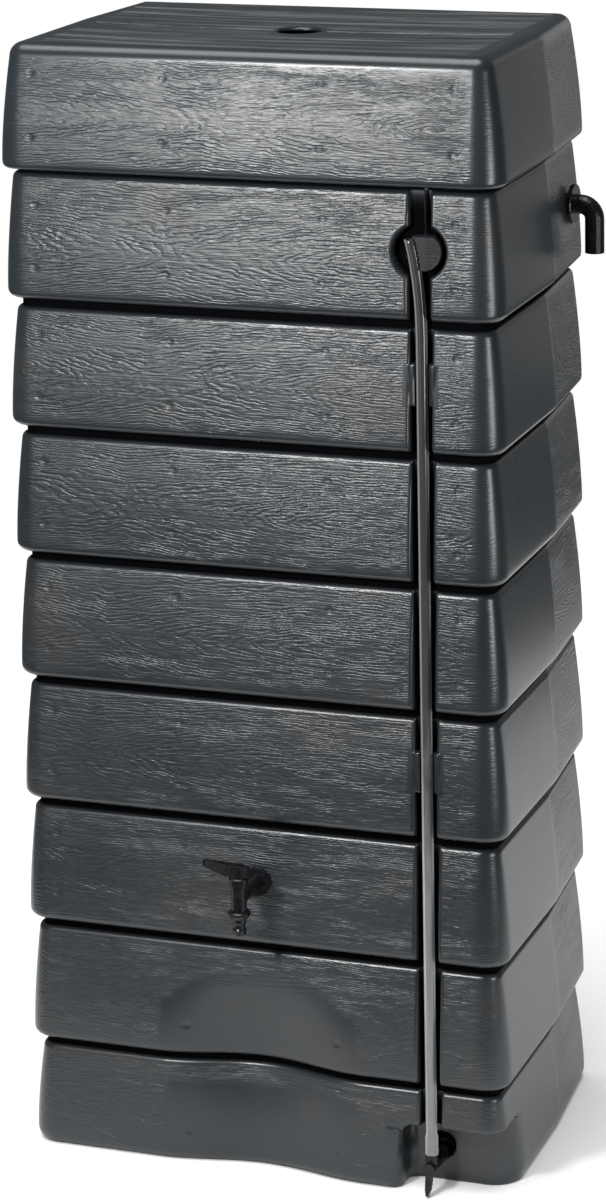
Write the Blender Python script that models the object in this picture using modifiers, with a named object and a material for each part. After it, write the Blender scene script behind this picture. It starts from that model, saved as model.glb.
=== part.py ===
"""Rain barrel: a free-standing rectangular tank moulded to look like stacked boards.

Metres, +Z up, front towards -Y. The origin is the middle of the underside of the base.
Eight boards flare outwards towards their lower edges, with a narrow neck between each two.
A level hose stands in a groove on the front right, fed by a small level tap at the foot.
"""
import math

import bmesh
import bpy
from mathutils import Matrix

# ---------------------------------------------------------------- driving dimensions
WIDTH = 0.630
DEPTH = 0.4234
WALL = 0.004
GAP = 0.0003

BOARDS = 8
BOARD_PITCH = 0.159
BASE_BOARD = 0.142
SKIRT_EDGE = BASE_BOARD + (BOARDS - 1) * BOARD_PITCH
LID_TOP = SKIRT_EDGE + 0.1513

FLARE = 0.0105
NECK_INSET = 0.0175
NECK_HEIGHT = 0.011
TOP_ROUND = 0.007
EDGE_ROUND = 0.008
BASE_ROUND = 0.012

CORNER_FRONT = 0.033
CORNER_BACK = 0.028
KINK_Y = 0.0276
KINK_INSET = 0.0013
BACK_INSET = 0.0129

GROOVE_X = 0.2180
GROOVE_WIDTH = 0.028
GROOVE_DEPTH = 0.0185
HOSE_OUTER = 0.014
HOSE_INNER = 0.010

NICHE_X = -0.005
NICHE_HALF = 0.137
NICHE_DEPTH = 0.0235
NICHE_TOP = 0.275

RING_Z = 1.178
RING_DIAMETER = 0.072
BOSS_X = 0.2274
BOSS_DIAMETER = 0.038
CHANNEL_WIDTH = 0.0155

LUG_TIERS = (2, 5)
LUG_HEIGHT = 0.048
LUG_ABOVE_EDGE = 0.082
LUG_SLOT = 0.0175
LUG_WIDTH = 0.0115

RECESS_X = 0.180
RECESS_Y = -0.166
RECESS_TOP = 0.085
RECESS_CORNER = 0.040
RECESS_BEVEL = 0.012
SIDE_AT_BASE = 0.312
POCKET_X, POCKET_Z = 0.220, 0.0475
POCKET_RADIUS = 0.028

LID_PROUD = 0.0015
LID_FLARE = 0.013
LID_ROUND = 0.0178
RIM_TOP = SKIRT_EDGE + 0.030
FILL_HOLE = 0.056
FILL_Y = 0.001

TAP_Z = 0.3835
TAP_OUT_Y = -0.272
TAP_PAD_Y = -0.208

OVERFLOW_Y = 0.135
OVERFLOW_Z = 1.1775
OVERFLOW_PAD_X = 0.3045
PIPE_DIAMETER = 0.024

LEVEL_Z = 0.034
LEVEL_SEAT_Y = -0.140
HOSE_END = 0.049
HOSE_FLARE_TOP = 0.072

FRONT = -DEPTH / 2
BACK = DEPTH / 2
HOSE_Y = FRONT + GROOVE_DEPTH - GAP - HOSE_OUTER / 2
RING_FLOOR = FRONT + GROOVE_DEPTH + 0.001


# ---------------------------------------------------------------- scene, materials, helpers
for old in list(bpy.data.objects):
    bpy.data.objects.remove(old, do_unlink=True)

PARTS = bpy.data.collections.new("rain_barrel")
CUTTERS = bpy.data.collections.new("cutters")
bpy.context.scene.collection.children.link(PARTS)
bpy.context.scene.collection.children.link(CUTTERS)


def material(name, colour, roughness, transmission=0.0):
    made = bpy.data.materials.new(name)
    made.use_nodes = True
    shader = made.node_tree.nodes["Principled BSDF"]
    shader.inputs["Base Color"].default_value = (*colour, 1)
    shader.inputs["Roughness"].default_value = roughness
    shader.inputs["Transmission Weight"].default_value = transmission
    return made


TANK_PLASTIC = material("tank_plastic", (0.085, 0.093, 0.102), 0.55)
BLACK_PLASTIC = material("black_plastic", (0.012, 0.012, 0.014), 0.35)
RUBBER = material("rubber", (0.02, 0.02, 0.02), 0.8)
CLEAR_PVC = material("clear_pvc", (0.75, 0.78, 0.78), 0.15, 0.8)
STEEL = material("steel", (0.55, 0.55, 0.55), 0.3)


def place(name, mesh, finish=None, matrix=None):
    """Links a mesh as a part, or as a cutter when it has no finish."""
    item = bpy.data.objects.new(name, mesh)
    if matrix is not None:
        item.matrix_world = matrix
    if finish is None:
        item.hide_render = True
        item.display_type = "WIRE"
        CUTTERS.objects.link(item)
    else:
        mesh.materials.append(finish)
        PARTS.objects.link(item)
    return item


def mesh_of(bm, name):
    """A clean mesh of flat triangles, which Boolean modifiers cut exactly."""
    bmesh.ops.triangulate(bm, faces=bm.faces)
    bmesh.ops.recalc_face_normals(bm, faces=bm.faces)
    mesh = bpy.data.meshes.new(name)
    bm.to_mesh(mesh)
    bm.free()
    return mesh


def along(axis, x, y, z):
    """A matrix that turns a piece's own +Z to the world axis and moves it to x, y, z."""
    turn = {
        "+Z": Matrix.Identity(4),
        "-Y": Matrix.Rotation(math.radians(90), 4, "X"),
        "+X": Matrix.Rotation(math.radians(90), 4, "Y"),
    }[axis]
    return Matrix.Translation((x, y, z)) @ turn


def loft(name, rings):
    """A closed solid through rings of points, capped at both ends."""
    bm = bmesh.new()
    rows = [[bm.verts.new(point) for point in ring] for ring in rings]
    count = len(rows[0])
    for low, high in zip(rows, rows[1:]):
        for i in range(count):
            j = (i + 1) % count
            bm.faces.new((low[i], low[j], high[j], high[i]))
    bm.faces.new(rows[0])
    bm.faces.new(rows[-1])
    return mesh_of(bm, name)


def rod(name, radius, start, end, matrix, finish=None, sides=32, radius_end=None):
    """A cylinder or cone on the piece's own Z, from start to end."""
    bm = bmesh.new()
    bmesh.ops.create_cone(
        bm, cap_ends=True, segments=sides, radius1=radius,
        radius2=radius if radius_end is None else radius_end, depth=end - start,
        matrix=Matrix.Translation((0, 0, (start + end) / 2)),
    )
    return place(name, mesh_of(bm, name), finish, matrix)


def block(name, low, high, finish=None):
    bm = bmesh.new()
    bmesh.ops.create_cube(bm, size=1)
    for vert in bm.verts:
        for k in range(3):
            vert.co[k] = low[k] if vert.co[k] < 0 else high[k]
    return place(name, mesh_of(bm, name), finish)


def turned(name, profile, matrix, finish=None, steps=32):
    """A ring turned round the piece's own Z. The profile runs down the outer side, then back up."""
    mesh = bpy.data.meshes.new(name)
    points = [(radius, 0, height) for radius, height in profile]
    edges = [(i, (i + 1) % len(points)) for i in range(len(points))]
    mesh.from_pydata(points, edges, [])
    item = place(name, mesh, finish, matrix)
    screw = item.modifiers.new("turn", "SCREW")
    screw.steps = screw.render_steps = steps
    screw.use_merge_vertices = True
    screw.merge_threshold = 0.00001
    return item


def boolean(item, operation, *others):
    for other in others:
        cut = item.modifiers.new(other.name, "BOOLEAN")
        cut.operation = operation
        cut.object = other
        cut.solver = "EXACT"
    return item


def swept(name, points, radii, matrix=None, finish=None, sides=16):
    """A round bar along a path in one plane of constant y, with a radius for each point."""
    rings = []
    for i, (x, y, z) in enumerate(points):
        before = points[max(i - 1, 0)]
        after = points[min(i + 1, len(points) - 1)]
        run, rise = after[0] - before[0], after[2] - before[2]
        size = math.hypot(run, rise)
        across = (rise / size, -run / size)
        ring = []
        for k in range(sides):
            turn = 2 * math.pi * k / sides
            out = radii[i] * math.cos(turn)
            ring.append((x + across[0] * out, y + radii[i] * math.sin(turn), z + across[1] * out))
        rings.append(ring)
    return place(name, loft(name, rings), finish, matrix)


# ---------------------------------------------------------------- outline of the tank in plan
def arc(cx, cy, radius, start, end, steps):
    for k in range(steps + 1):
        turn = math.radians(start + (end - start) * k / steps)
        yield cx + radius * math.cos(turn), cy + radius * math.sin(turn)


def smooth(t):
    t = min(max(t, 0.0), 1.0)
    return t * t * (3 - 2 * t)


def niche_depth(x, z):
    """How far the hollow under the tap sets the front back."""
    reach = abs(x - NICHE_X) / NICHE_HALF
    if reach >= 1:
        return 0.0
    low = 0.82 + 0.18 * smooth(z / BASE_BOARD)
    high = smooth((NICHE_TOP - z) / (NICHE_TOP - BASE_BOARD))
    return NICHE_DEPTH * min(low, high) * 0.5 * (1 + math.cos(math.pi * reach))


def front_points(inset, z, extra):
    """Front edge from left to right: the niche, then the hose groove. extra thickens the groove."""
    for k in range(-4, 5):
        x = NICHE_X + NICHE_HALF * k / 4
        yield x, FRONT + inset + niche_depth(x, z)
    half = GROOVE_WIDTH / 2 + extra
    floor = FRONT + GROOVE_DEPTH + 1.5 * extra
    yield GROOVE_X - half - 0.001, FRONT + inset
    yield GROOVE_X - half + 0.001, floor
    yield GROOVE_X + half - 0.001, floor
    yield GROOVE_X + half + 0.001, FRONT + inset


def outline(inset, z, extra=0.0, plain=False):
    """Anticlockwise plan outline at one height, set in from the widest outline by inset."""
    side, back = WIDTH / 2, WIDTH / 2 - BACK_INSET
    r, b = CORNER_FRONT, CORNER_BACK
    points = list(arc(-side + r, FRONT + r, r - inset, 180, 270, 5))
    if not plain:
        points += front_points(inset, z, extra)
    points += arc(side - r, FRONT + r, r - inset, 270, 360, 5)
    points.append((side - KINK_INSET - inset, KINK_Y))
    points += arc(back - b, BACK - b, b - inset, 0, 90, 4)
    points += arc(-back + b, BACK - b, b - inset, 90, 180, 4)
    points.append((-side + KINK_INSET + inset, KINK_Y))
    return [(x, y, z) for x, y in points]


# ---------------------------------------------------------------- tank
def board_edge(tier):
    """Height of a board's lower edge. Board 1 is the top one, board 8 stands on the ground."""
    return 0.0 if tier == BOARDS else SKIRT_EDGE - tier * BOARD_PITCH


def outer_profile():
    """(inset, height) up the outside of all boards, from the underside to the rim."""
    rows = [(BASE_ROUND, 0.0), (BASE_ROUND * 0.3, BASE_ROUND * 0.3), (0.0, BASE_ROUND)]
    for tier in range(BOARDS, 0, -1):
        edge, top = board_edge(tier), board_edge(tier - 1) if tier > 1 else SKIRT_EDGE
        if tier < BOARDS:
            rows += [(NECK_INSET, edge + 0.0015), (EDGE_ROUND * 0.9, edge)]
            rows += [(EDGE_ROUND * 0.25, edge + EDGE_ROUND * 0.3), (0.0, edge + EDGE_ROUND)]
        shoulder = top - NECK_HEIGHT
        rows += [(FLARE, shoulder - TOP_ROUND), (FLARE + TOP_ROUND * 0.3, shoulder - TOP_ROUND * 0.3)]
        rows.append((NECK_INSET, shoulder))
    rows.append((NECK_INSET, RIM_TOP))
    return rows


def inner_profile():
    """(inset, height) up the inside, one wall thickness in, and on past the rim."""
    rows = [(BASE_ROUND + WALL, WALL), (WALL, BASE_ROUND + WALL)]
    for tier in range(BOARDS, 0, -1):
        edge, top = board_edge(tier), board_edge(tier - 1) if tier > 1 else SKIRT_EDGE
        if tier < BOARDS:
            rows += [(NECK_INSET + WALL, edge + WALL), (WALL + 0.001, edge + EDGE_ROUND + WALL)]
        shoulder = top - NECK_HEIGHT
        rows += [(FLARE + WALL, shoulder - TOP_ROUND - WALL), (NECK_INSET + WALL, shoulder - WALL)]
    rows.append((NECK_INSET + WALL, RIM_TOP + 0.02))
    return rows


def recess_cutter(name, grow):
    """The foot of the front right corner is set back, with a round corner of its own."""
    x, y = RECESS_X - grow, RECESS_Y + grow
    r = RECESS_CORNER
    bevel = FRONT + RECESS_BEVEL + 0.4 * grow
    plan = [(x - (bevel - FRONT) - 0.05, FRONT - 0.05), (x, bevel), (x, y)]
    plan += arc(SIDE_AT_BASE - grow - r, y + r, r, 270, 360, 5)
    plan += [(WIDTH / 2 + 0.02, y + r), (WIDTH / 2 + 0.02, FRONT - 0.05)]
    heights = (-0.01, RECESS_TOP + grow)
    return place(name, loft(name, [[(px, py, z) for px, py in plan] for z in heights]))


def ring_cutter():
    """Ring round the flat boss that the open end of the level hose is tucked behind."""
    face = along("-Y", GROOVE_X, 0, RING_Z)
    ring = rod("ring_recess", RING_DIAMETER / 2, -RING_FLOOR, 0.26, face, sides=40)
    boss = rod("ring_boss", BOSS_DIAMETER / 2, 0.1, 0.3, along("-Y", BOSS_X, 0, RING_Z))
    return boolean(ring, "DIFFERENCE", boss)


HOSE_PATH = [
    (GROOVE_X, HOSE_Y, HOSE_END), (GROOVE_X, HOSE_Y, HOSE_FLARE_TOP),
    (GROOVE_X, HOSE_Y, HOSE_FLARE_TOP + 0.006),
    (GROOVE_X, HOSE_Y, 0.30), (GROOVE_X, HOSE_Y, 0.60), (GROOVE_X, HOSE_Y, 0.90),
    (GROOVE_X, HOSE_Y, 1.06), (GROOVE_X - 0.0006, HOSE_Y, 1.10), (GROOVE_X - 0.0030, HOSE_Y, 1.13),
    (GROOVE_X - 0.0062, HOSE_Y, 1.155), (GROOVE_X - 0.0095, HOSE_Y, 1.175),
    (GROOVE_X - 0.0118, HOSE_Y, 1.192),
]


def channel_cutter():
    """Room for the level hose where it leans past the boss."""
    path = HOSE_PATH[-5:] + [(GROOVE_X - 0.0130, HOSE_Y, 1.202)]
    front = [(x, FRONT - 0.02, z) for x, y, z in path]
    back = [(x, RING_FLOOR + 0.001, z) for x, y, z in path]
    half = CHANNEL_WIDTH / 2
    rings = []
    for near, far in zip(front, back):
        rings.append([
            (near[0] - half, near[1], near[2]), (near[0] + half, near[1], near[2]),
            (far[0] + half, far[1], far[2]), (far[0] - half, far[1], far[2]),
        ])
    return place("hose_channel", loft("hose_channel", rings))


def lugs():
    """Pairs of smooth pads beside the groove that hold the hose in."""
    made = []
    for tier in LUG_TIERS:
        middle = board_edge(tier) + LUG_ABOVE_EDGE
        for side in (-1, 1):
            near = GROOVE_X + side * LUG_SLOT / 2
            far = near + side * LUG_WIDTH
            low = (min(near, far), FRONT + 0.004, middle - LUG_HEIGHT / 2)
            high = (max(near, far), FRONT + GROOVE_DEPTH + 0.002, middle + LUG_HEIGHT / 2)
            made.append(block(f"lug_{tier}_{'left' if side < 0 else 'right'}", low, high))
    return made


def make_barrel():
    outer = [outline(inset, z) for inset, z in outer_profile()]
    inner = [outline(inset, z, WALL) for inset, z in inner_profile()]
    body = place("barrel_body", loft("barrel_body", outer), TANK_PLASTIC)
    hollow = place("hollow", loft("hollow", inner))
    tap = along("-Y", 0, 0, TAP_Z)
    overflow = along("+X", 0, OVERFLOW_Y, OVERFLOW_Z)
    ring = along("-Y", GROOVE_X, 0, RING_Z)
    pocket = along("-Y", POCKET_X, 0, POCKET_Z)
    boolean(
        hollow, "DIFFERENCE", recess_cutter("recess_wall", WALL),
        rod("ring_wall", RING_DIAMETER / 2 + 1.1 * WALL, -RING_FLOOR - 1.5 * WALL, 0.26, ring, sides=36),
        rod("pocket_wall", POCKET_RADIUS + WALL, -LEVEL_SEAT_Y - WALL, 0.26, pocket, sides=36),
    )
    boolean(
        body, "DIFFERENCE", recess_cutter("foot_recess", 0.0),
        rod("level_pocket", POCKET_RADIUS, -LEVEL_SEAT_Y, 0.17, pocket, sides=36),
        ring_cutter(), channel_cutter(), hollow,
    )
    boolean(
        body, "UNION", *lugs(),
        rod("tap_pad", 0.019, 0.196, -TAP_PAD_Y, tap),
        rod("overflow_pad", 0.0265, 0.292, OVERFLOW_PAD_X, overflow),
    )
    boolean(
        body, "DIFFERENCE",
        rod("tap_hole", 0.0133, 0.18, 0.22, tap, sides=30),
        rod("overflow_hole", 0.0143, 0.28, 0.32, overflow, sides=30),
        rod("level_hole", 0.0083, 0.12, 0.15, along("-Y", GROOVE_X, 0, LEVEL_Z), sides=22),
    )


# ---------------------------------------------------------------- lid
def make_lid():
    """A cap one board high. Its skirt hides the rim, and a ledge inside rests on it."""
    top_inset = LID_FLARE - LID_PROUD
    rows = [(LID_PROUD * 3, SKIRT_EDGE), (-LID_PROUD, SKIRT_EDGE + 0.007)]
    for k in range(5):
        turn = math.radians(22.5 * k)
        rows.append((
            top_inset + LID_ROUND * (1 - math.cos(turn)), LID_TOP - LID_ROUND * (1 - math.sin(turn)),
        ))
    ledge = RIM_TOP + GAP
    under = [
        (LID_PROUD * 3 + 0.003, SKIRT_EDGE), (0.0035, SKIRT_EDGE + 0.009), (0.0055, ledge),
        (NECK_INSET + 0.006, ledge), (NECK_INSET + 0.006, ledge + 0.0035), (0.0065, ledge + 0.0035),
        (top_inset + WALL, LID_TOP - 0.020), (top_inset + 0.010, LID_TOP - 0.008),
        (top_inset + LID_ROUND + 0.003, LID_TOP - WALL),
    ]
    rings = [outline(i, z, plain=True) for i, z in reversed(rows)]
    rings += [outline(i, z, plain=True) for i, z in under]
    lid = place("lid", loft("lid", rings), TANK_PLASTIC)
    hole = rod("fill_hole", FILL_HOLE / 2, LID_TOP - 0.03, LID_TOP + 0.03, along("+Z", 0, FILL_Y, 0))
    reach = WIDTH / 2 - 0.036
    joint = place("board_joint", loft("board_joint", [
        [(x, FILL_Y - 0.004, LID_TOP + 0.002), (x, FILL_Y, LID_TOP - 0.0025),
         (x, FILL_Y + 0.004, LID_TOP + 0.002)] for x in (-reach, reach)
    ]))
    boolean(lid, "DIFFERENCE", hole, joint)


# ---------------------------------------------------------------- tap on the front
def hex_nut(name, across, bore, start, end, matrix):
    nut = rod(name, across / math.sqrt(3), start, end, matrix, BLACK_PLASTIC, sides=6)
    return boolean(nut, "DIFFERENCE", rod(name + "_bore", bore, start - 0.01, end + 0.01, matrix))


def washer(name, outer, inner, start, end, matrix, finish=RUBBER):
    return turned(name, [(outer, end), (outer, start), (inner, start), (inner, end)], matrix, finish)


def make_tap():
    """Quarter-turn tap: the plug stands upright under the lever and drains into a hose tail.
    Heights on the upright axis are measured from the middle of the tap."""
    wall = along("-Y", 0, 0, TAP_Z)
    upright = along("+Z", 0, TAP_OUT_Y, TAP_Z)
    seat = -TAP_PAD_Y
    washer("tap_gasket", 0.018, 0.0133, seat + GAP, seat + 0.0023, wall)
    body = rod("tap_body", 0.018, seat + 0.0026, seat + 0.0066, wall, BLACK_PLASTIC)
    boolean(
        body, "UNION",
        rod("tap_shank", 0.013, 0.176, seat + 0.004, wall),
        rod("tap_barrel", 0.0095, seat + 0.004, -TAP_OUT_Y, wall),
        rod("tap_spout", 0.0093, -0.0183, 0.0205, upright),
    )
    boolean(
        body, "DIFFERENCE",
        rod("tap_bore", 0.0055, 0.17, -TAP_OUT_Y, wall, sides=24),
        rod("tap_plug_bore", 0.0066, -0.0080, 0.0305, upright, sides=24),
        rod("tap_outlet_bore", 0.0050, -0.0295, 0.0005, upright, sides=24),
    )
    hex_nut("tap_back_nut", 0.036, 0.0133, 0.1865, 0.196 - GAP, wall)

    plug = rod("tap_plug", 0.0063, -0.0075, 0.0165, upright, BLACK_PLASTIC, sides=24)
    boolean(plug, "UNION", rod("tap_stem", 0.004, 0.0105, 0.0360, upright, sides=16))
    boolean(
        plug, "DIFFERENCE",
        rod("tap_plug_port", 0.0042, 0.25, -TAP_OUT_Y, wall, sides=16),
        rod("tap_plug_drain", 0.0042, -0.0195, 0.0020, upright, sides=16),
        rod("tap_screw_hole", 0.0014, 0.0270, 0.0505, upright, sides=12),
    )
    washer("tap_spindle_seal", 0.0063, 0.0043, 0.0170, 0.0200, upright)
    turned("tap_bonnet", [
        (0.0115, 0.0260), (0.0115, 0.0165), (0.0096, 0.0165), (0.0096, 0.0208), (0.0043, 0.0208),
        (0.0043, 0.0272), (0.0100, 0.0272),
    ], upright, BLACK_PLASTIC)
    turned("tap_collar", [
        (0.0120, -0.0155), (0.0139, -0.0175), (0.0139, -0.0200), (0.0110, -0.0243), (0.0068, -0.0243),
        (0.0068, -0.0227), (0.0096, -0.0227), (0.0096, -0.0155),
    ], upright, BLACK_PLASTIC)
    washer("tap_nozzle_seal", 0.0088, 0.0055, -0.0198, -0.0186, upright)
    turned("tap_nozzle", [
        (0.0092, -0.0201), (0.0092, -0.0224), (0.0065, -0.0224), (0.0065, -0.0248), (0.0086, -0.0256),
        (0.0083, -0.0300), (0.0072, -0.0325), (0.0072, -0.0370), (0.0086, -0.0395), (0.0078, -0.0455),
        (0.0045, -0.0455), (0.0045, -0.0201),
    ], upright, BLACK_PLASTIC)
    make_tap_lever(upright)


def make_tap_lever(upright):
    """Wedge-shaped lever that points left at rest, with its hub over the stem."""
    lever = rod("tap_lever", 0.0095, 0.0275, 0.0418, upright, BLACK_PLASTIC, radius_end=0.0085)
    sections = (
        (0.0130, 0.0288, 0.0414, 0.0056), (0.0, 0.0282, 0.0423, 0.0068),
        (-0.0140, 0.0286, 0.0431, 0.0062), (-0.0300, 0.0335, 0.0443, 0.0055),
        (-0.0410, 0.0374, 0.0451, 0.0046), (-0.0450, 0.0394, 0.0447, 0.0028),
    )
    blade = place("lever_blade", loft("lever_blade", [
        [(x, -half, low), (x, half, low), (x, half * 0.7, high), (x, -half * 0.7, high)]
        for x, low, high, half in sections
    ]), None, upright)
    boolean(lever, "UNION", blade)
    boolean(
        lever, "DIFFERENCE",
        rod("lever_socket", 0.0043, 0.0205, 0.0363, upright, sides=16),
        rod("lever_screw_hole", 0.0018, 0.0305, 0.0505, upright, sides=12),
        rod("lever_screw_seat", 0.0035, 0.0390, 0.0505, upright, sides=16),
    )
    turned("tap_lever_screw", [
        (0.0, 0.0420), (0.0025, 0.0417), (0.0031, 0.0393), (0.0012, 0.0393), (0.0012, 0.0290), (0.0, 0.0285),
    ], upright, STEEL, 16)


# ---------------------------------------------------------------- overflow on the right side
def make_overflow():
    """Swivelling elbow in a flanged collar, held by a nut inside the tank."""
    out = along("+X", 0, OVERFLOW_Y, OVERFLOW_Z)
    seat = OVERFLOW_PAD_X
    washer("overflow_gasket", 0.0240, 0.0143, seat + GAP, seat + 0.0023, out)
    turned("overflow_collar", [
        (0.0242, seat + 0.0056), (0.0250, seat + 0.0046), (0.0250, seat + 0.0026), (0.0140, seat + 0.0026),
        (0.0140, 0.2760), (0.0123, 0.2760), (0.0123, seat + 0.0056),
    ], out, BLACK_PLASTIC)
    hex_nut("overflow_nut", 0.038, 0.0143, 0.2830, 0.292 - GAP, out)
    washer("overflow_seal", 0.0121, 0.0107, 0.2800, 0.2855, out)

    bend, leg = 0.0175, 0.060
    turn_x = 0.3341 - bend
    path = [(0.2745, 0, 0), (0.2795, 0, 0), (0.2797, 0, 0), (0.2860, 0, 0), (0.2862, 0, 0), (0.31, 0, 0)]
    thin, full = 0.0104, PIPE_DIAMETER / 2
    radii = [full, full, thin, thin, full, full]
    for k in range(9):
        turn = math.radians(90 * k / 8)
        path.append((turn_x + bend * math.sin(turn), 0, -bend * (1 - math.cos(turn))))
        radii.append(full)
    path.append((turn_x + bend, 0, -leg))
    radii.append(full)
    centre = Matrix.Translation((0, OVERFLOW_Y, OVERFLOW_Z))
    elbow = swept("overflow_elbow", path, radii, centre, BLACK_PLASTIC, 28)
    bore_path = [(0.26, 0, 0)] + path[5:-1] + [(turn_x + bend, 0, -leg - 0.01)]
    bore = swept("elbow_bore", bore_path, [full - 0.0024] * len(bore_path), centre, None, 20)
    boolean(elbow, "DIFFERENCE", bore)


# ---------------------------------------------------------------- level hose and its tap
def make_level_hose():
    """Clear hose that shows the water level, stretched over the level tap's barb at its foot."""
    top = HOSE_PATH[-1]
    bore = [(GROOVE_X, HOSE_Y, HOSE_END - 0.005), *HOSE_PATH[1:], (top[0] - 0.001, HOSE_Y, top[2] + 0.01)]
    stretch = [0.0012 if z < HOSE_FLARE_TOP + 0.001 else 0.0 for x, y, z in HOSE_PATH]
    outer = [HOSE_OUTER / 2 + extra for extra in stretch]
    inner = [HOSE_INNER / 2 + extra for extra in (*stretch, 0.0)]
    hose = swept("level_hose", HOSE_PATH, outer, None, CLEAR_PVC)
    boolean(hose, "DIFFERENCE", swept("hose_bore", bore, inner))


def make_level_tap():
    """Small tap at the foot of the hose: it joins the hose to the tank and can drain it."""
    front = along("-Y", GROOVE_X, 0, LEVEL_Z)
    up = along("+Z", GROOVE_X, HOSE_Y, 0)
    seat = -LEVEL_SEAT_Y
    washer("level_tap_gasket", 0.0130, 0.0083, seat + GAP, seat + 0.0020, front)
    body = rod("level_tap_body", 0.0130, seat + 0.0023, seat + 0.0053, front, BLACK_PLASTIC)
    boolean(
        body, "UNION",
        rod("level_shank", 0.0080, 0.118, seat + 0.003, front, sides=24),
        rod("level_cone", 0.0105, seat + 0.004, 0.188, front, sides=24, radius_end=0.0085),
        rod("level_barrel", 0.0075, 0.180, 0.2090, front, sides=24),
        rod("level_barb_foot", 0.0075, LEVEL_Z, HOSE_END - 0.001, up, sides=24),
        rod("level_barb", 0.0055, LEVEL_Z, HOSE_FLARE_TOP - 0.006, up, sides=20),
    )
    boolean(
        body, "DIFFERENCE",
        rod("level_bore", 0.0035, 0.11, 0.2025, front, sides=16),
        rod("level_plug_bore", 0.0053, 0.1945, 0.22, front, sides=20),
        rod("level_barb_bore", 0.0033, LEVEL_Z, HOSE_FLARE_TOP, up, sides=16),
    )
    hex_nut("level_tap_nut", 0.022, 0.0083, 0.1280, seat - WALL - GAP, front)

    plug = rod("level_tap_plug", 0.0050, 0.1950, 0.2093, front, BLACK_PLASTIC, sides=20)
    boolean(plug, "UNION", rod("level_plug_key", 0.0030, 0.205, 0.2135, front, sides=12))
    boolean(
        plug, "DIFFERENCE",
        rod("level_plug_drain", 0.0028, 0.19, 0.2030, front, sides=12),
        rod("level_plug_port", 0.0028, LEVEL_Z, 0.05, up, sides=12),
    )
    lever = rod("level_tap_lever", 0.0078, 0.2096, 0.2155, front, BLACK_PLASTIC, sides=24)
    blade = place("level_blade", loft("level_blade", [
        [(GROOVE_X - half, y, z), (GROOVE_X + half, y, z),
         (GROOVE_X + half * 0.7, y - thick, z), (GROOVE_X - half * 0.7, y - thick, z)]
        for z, y, half, thick in (
            (LEVEL_Z + 0.002, -0.2115, 0.0062, 0.0040), (0.022, -0.2125, 0.0052, 0.0042),
            (0.010, -0.2160, 0.0046, 0.0042), (0.0030, -0.2200, 0.0020, 0.0030),
        )
    ]))
    boolean(lever, "UNION", blade)
    boolean(lever, "DIFFERENCE", rod("level_key_socket", 0.0033, 0.20, 0.2138, front, sides=12))


make_barrel()
make_lid()
make_tap()
make_overflow()
make_level_hose()
make_level_tap()

for part in PARTS.objects:
    part.data.shade_smooth()
    part.data.set_sharp_from_angle(angle=math.radians(30))
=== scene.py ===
import math

import bmesh
import bpy
from mathutils import Matrix, Vector


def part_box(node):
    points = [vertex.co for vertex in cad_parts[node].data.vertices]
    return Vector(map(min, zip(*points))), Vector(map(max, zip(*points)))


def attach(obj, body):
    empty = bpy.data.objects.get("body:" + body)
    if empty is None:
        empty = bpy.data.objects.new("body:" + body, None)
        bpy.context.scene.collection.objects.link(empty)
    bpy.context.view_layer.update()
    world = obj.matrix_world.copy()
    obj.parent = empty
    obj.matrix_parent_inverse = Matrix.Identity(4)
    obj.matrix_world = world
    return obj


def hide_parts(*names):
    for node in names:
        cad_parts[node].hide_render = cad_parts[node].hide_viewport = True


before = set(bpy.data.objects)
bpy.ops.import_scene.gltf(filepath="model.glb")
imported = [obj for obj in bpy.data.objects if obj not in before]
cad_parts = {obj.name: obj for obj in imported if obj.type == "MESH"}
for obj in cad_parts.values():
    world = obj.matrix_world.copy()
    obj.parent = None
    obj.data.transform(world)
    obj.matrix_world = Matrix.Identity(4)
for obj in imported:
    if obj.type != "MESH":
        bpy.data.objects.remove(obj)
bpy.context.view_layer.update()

tank_low, tank_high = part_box("barrel_body")
lid_low, lid_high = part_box("lid")

# ---------------------------------------------------------------- sizes, in metres, as in the CAD
WIDTH = tank_high.x - tank_low.x
FRONT, BACK = tank_low.y, tank_high.y
HALF = WIDTH / 2
WALL = 0.004
BOARDS = 8
SKIRT_EDGE = lid_low.z
LID_TOP = lid_high.z
RIM_TOP = tank_high.z
BOARD_PITCH = 0.159

FLARE = 0.0105
BULGE = 1.55
NECK_INSET = 0.0175
NECK_HEIGHT = 0.011
FIRST_NECK = 0.0055
TOP_RUN, TOP_RISE = NECK_INSET - FLARE, 0.0085
EDGE_RUN, EDGE_RISE = 0.0105, 0.0100
BASE_RUN, BASE_RISE = 0.012, 0.016

CORNER_FRONT = 0.033
CORNER_BACK = 0.028
KINK_Y = 0.0276
KINK_INSET = 0.0013
BACK_INSET = 0.0129

GROOVE_X = 0.2180
GROOVE_HALF = 0.014
GROOVE_LIP = 0.0034
GROOVE_DEPTH = 0.0185

NICHE_X = -0.005
NICHE_HALF = 0.137
NICHE_DEPTH = 0.0235
NICHE_TOP = 0.275
BASE_BOARD = 0.142

RING_Z = 1.178
RING_RADIUS = 0.036
RING_WALL = 0.0328
BOSS_X = 0.2230
BOSS_RADIUS = 0.0241
BOSS_FLAT = 1.1984
RIB_X, RIB_HALF, RIB_HEIGHT = 0.2242, 0.0024, 0.0078

HOSE_OUTER, HOSE_INNER = 0.0070, 0.0050
HOSE_WRAP = 0.044
HOSE_CHANNEL = 0.0071
HOSE_Y = FRONT + GROOVE_DEPTH - 0.0003 - HOSE_OUTER
HOSE_END, HOSE_FLARE_TOP = 0.049, 0.072
HOSE_STRAIGHT, HOSE_TOP, HOSE_LEAN = 1.060, 1.192, 0.0130
HOSE_STRETCH = 0.0012
HOSE_SIDES = 40

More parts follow.
